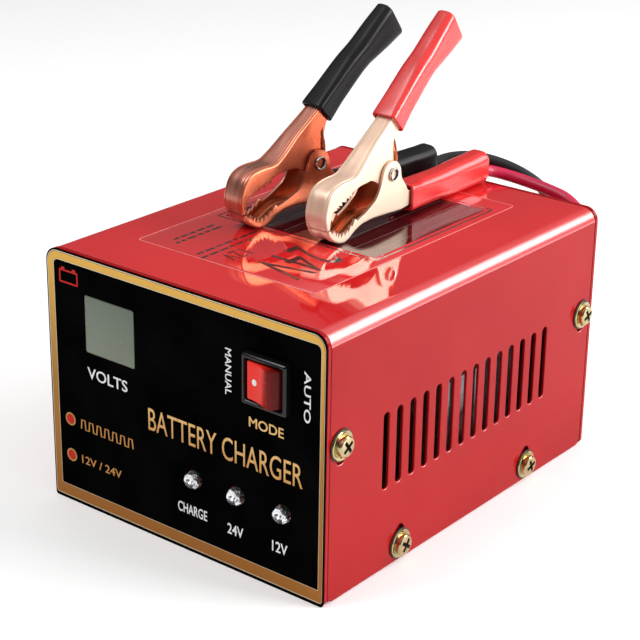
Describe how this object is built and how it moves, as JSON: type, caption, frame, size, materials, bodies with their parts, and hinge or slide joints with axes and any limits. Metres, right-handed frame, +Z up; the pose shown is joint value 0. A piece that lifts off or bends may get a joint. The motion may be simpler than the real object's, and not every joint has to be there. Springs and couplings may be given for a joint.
{
  "type": "car battery charger",
  "caption": "Box-shaped mains battery charger with a front panel of display, lamps and rocker switch, and two leads ending in sprung jaw clamps parked on its top.",
  "frame": {"origin": "middle of the case footprint, on the surface it stands on", "axes": "+Z up; the control panel faces -Y; +X is to the right when facing the panel; the leads leave through the rear wall at +Y"},
  "size_m": [0.1162, 0.2084, 0.1475],
  "materials": {
    "red_paint": "gloss",
    "panel_black": "gloss",
    "display_glass": "gloss",
    "black_plastic": "satin",
    "rocker_red": "gloss",
    "lamp_clear": "clear",
    "zinc_yellow": "polished",
    "circuit_green": "satin",
    "nylon": "matte",
    "ferrite": "matte",
    "winding": "satin",
    "aluminium": "satin",
    "grommet_rubber": "matte",
    "copper_plate": "polished",
    "steel": "polished",
    "vinyl_red": "satin",
    "vinyl_black": "satin",
    "lead_red": "satin",
    "lead_black": "satin"
  },
  "bodies": {
    "case": {"chassis": "red_paint", "top_cover": "red_paint", "front_label": "panel_black", "display_window": "display_glass", "display_module": "black_plastic", "switch_housing": "black_plastic", "lamp_charging": "lamp_clear", "lamp_24v": "lamp_clear", "lamp_12v": "lamp_clear", "screw_right_front_upper": "zinc_yellow", "screw_right_rear_upper": "zinc_yellow", "screw_right_front_lower": "zinc_yellow", "screw_right_rear_lower": "zinc_yellow", "screw_left_front_upper": "zinc_yellow", "screw_left_rear_upper": "zinc_yellow", "screw_left_front_lower": "zinc_yellow", "screw_left_rear_lower": "zinc_yellow", "circuit_board": "circuit_green", "standoff_front_left": "nylon", "standoff_front_right": "nylon", "standoff_rear_left": "nylon", "standoff_rear_right": "nylon", "transformer_core": "ferrite", "transformer_winding": "winding", "input_capacitor": "black_plastic", "output_capacitor": "black_plastic", "heat_sink": "aluminium", "switching_transistor": "black_plastic", "rectifier_diode": "black_plastic", "relay": "black_plastic", "mains_fuse": "lamp_clear", "mains_cord_gland": "black_plastic", "lead_grommet_black": "grommet_rubber", "lead_grommet_red": "grommet_rubber", "red_lead_from_case": "lead_red", "red_lead_coil": "lead_red", "red_lead_to_clamp": "lead_red", "black_lead_from_case": "lead_black", "black_lead_coil": "lead_black", "black_lead_to_clamp": "lead_black", "red_clamp_lower_jaw": "copper_plate", "red_clamp_rivet": "steel", "red_clamp_spring": "steel", "red_clamp_lower_grip": "vinyl_red", "black_clamp_lower_jaw": "copper_plate", "black_clamp_rivet": "steel", "black_clamp_spring": "steel", "black_clamp_lower_grip": "vinyl_black"},
    "rocker": {"switch_rocker": "rocker_red"},
    "red_clamp_arm": {"red_clamp_upper_jaw": "copper_plate", "red_clamp_upper_grip": "vinyl_red"},
    "black_clamp_arm": {"black_clamp_upper_jaw": "copper_plate", "black_clamp_upper_grip": "vinyl_black"}
  },
  "joints": [
    {"name": "rocker_tilt", "type": "hinge", "parent": "case", "child": "rocker", "pos_m": [0.0341, -0.07025, 0.0651], "axis": [0, 0, 1], "range_deg": [0, 34]},
    {"name": "red_clamp_open", "type": "hinge", "parent": "case", "child": "red_clamp_arm", "pos_m": [0.009, 0.0134, 0.1018], "axis": [-1, 0, 0], "range_deg": [0, 35], "stiffness_Nm_per_rad": 0.2, "springref_deg": -34.38, "deforming": ["red_clamp_spring"]},
    {"name": "black_clamp_open", "type": "hinge", "parent": "case", "child": "black_clamp_arm", "pos_m": [-0.0156, 0.0081, 0.1018], "axis": [-0.9903, 0.1392, 0], "range_deg": [0, 35], "stiffness_Nm_per_rad": 0.2, "springref_deg": -34.38, "deforming": ["black_clamp_spring"]}
  ]
}
